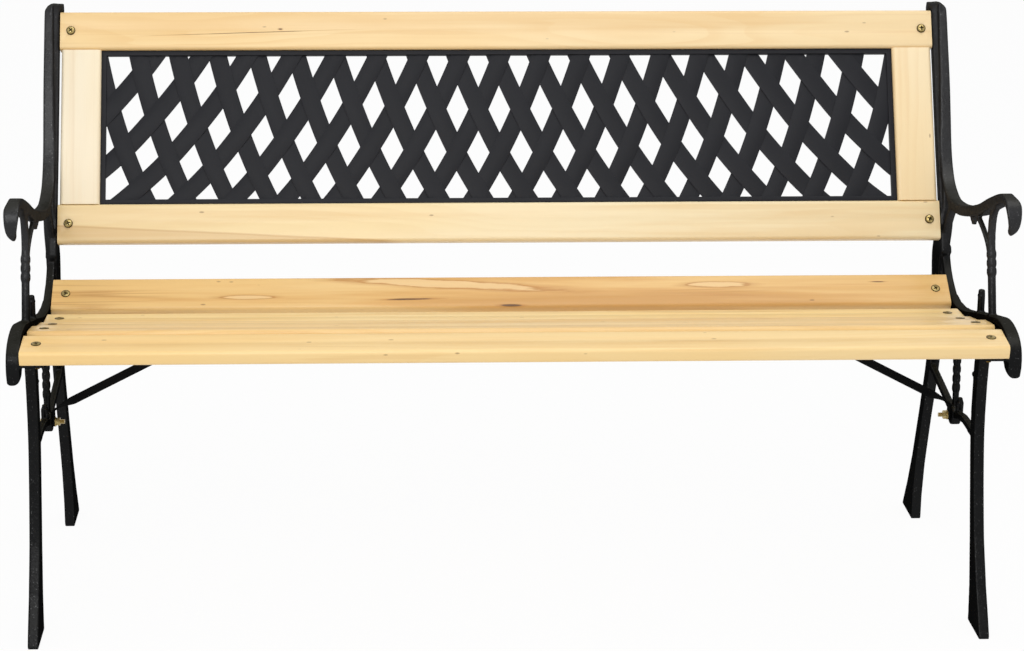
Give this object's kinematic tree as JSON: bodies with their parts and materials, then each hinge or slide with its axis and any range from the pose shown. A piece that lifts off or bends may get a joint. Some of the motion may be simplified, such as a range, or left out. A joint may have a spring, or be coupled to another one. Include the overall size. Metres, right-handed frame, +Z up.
{
  "type": "garden bench",
  "caption": "Slatted wooden garden bench on black cast iron ends with curled arms and scrollwork, and a reclined back frame around a woven diamond lattice panel.",
  "frame": {"origin": "on the floor, in the middle of the bench's width and depth", "axes": "+X to the right along the seat for someone looking at the front, +Y from front to back, +Z up"},
  "size_m": [1.224, 0.547, 0.7351],
  "materials": {
    "cast_iron": "black paint over a slightly rough casting",
    "softwood": "clear satin varnish on pale softwood",
    "dowel_wood": "bare wood",
    "lattice_plastic": "satin black",
    "painted_steel": "black paint",
    "yellow_zinc": "yellow zinc plating on steel"
  },
  "bodies": {
    "root": {"left_end_casting": "cast_iron", "right_end_casting": "cast_iron", "seat_slat_front": "softwood", "seat_slat_second": "softwood", "seat_slat_third": "softwood", "seat_slat_fourth": "softwood", "seat_slat_rear": "softwood", "back_top_rail": "softwood", "back_bottom_rail": "softwood", "back_left_stile": "softwood", "back_right_stile": "softwood", "lattice_panel": "lattice_plastic", "stile_dowels": "dowel_wood", "left_brace": "painted_steel", "right_brace": "painted_steel", "seat_bolts": "yellow_zinc", "seat_washers": "yellow_zinc", "seat_nuts": "yellow_zinc", "back_bolts": "yellow_zinc", "back_washers": "yellow_zinc", "back_nuts": "yellow_zinc", "brace_bolts": "yellow_zinc", "brace_washers": "yellow_zinc", "brace_nuts": "yellow_zinc", "brace_screws": "yellow_zinc"}
  },
  "joints": []
}
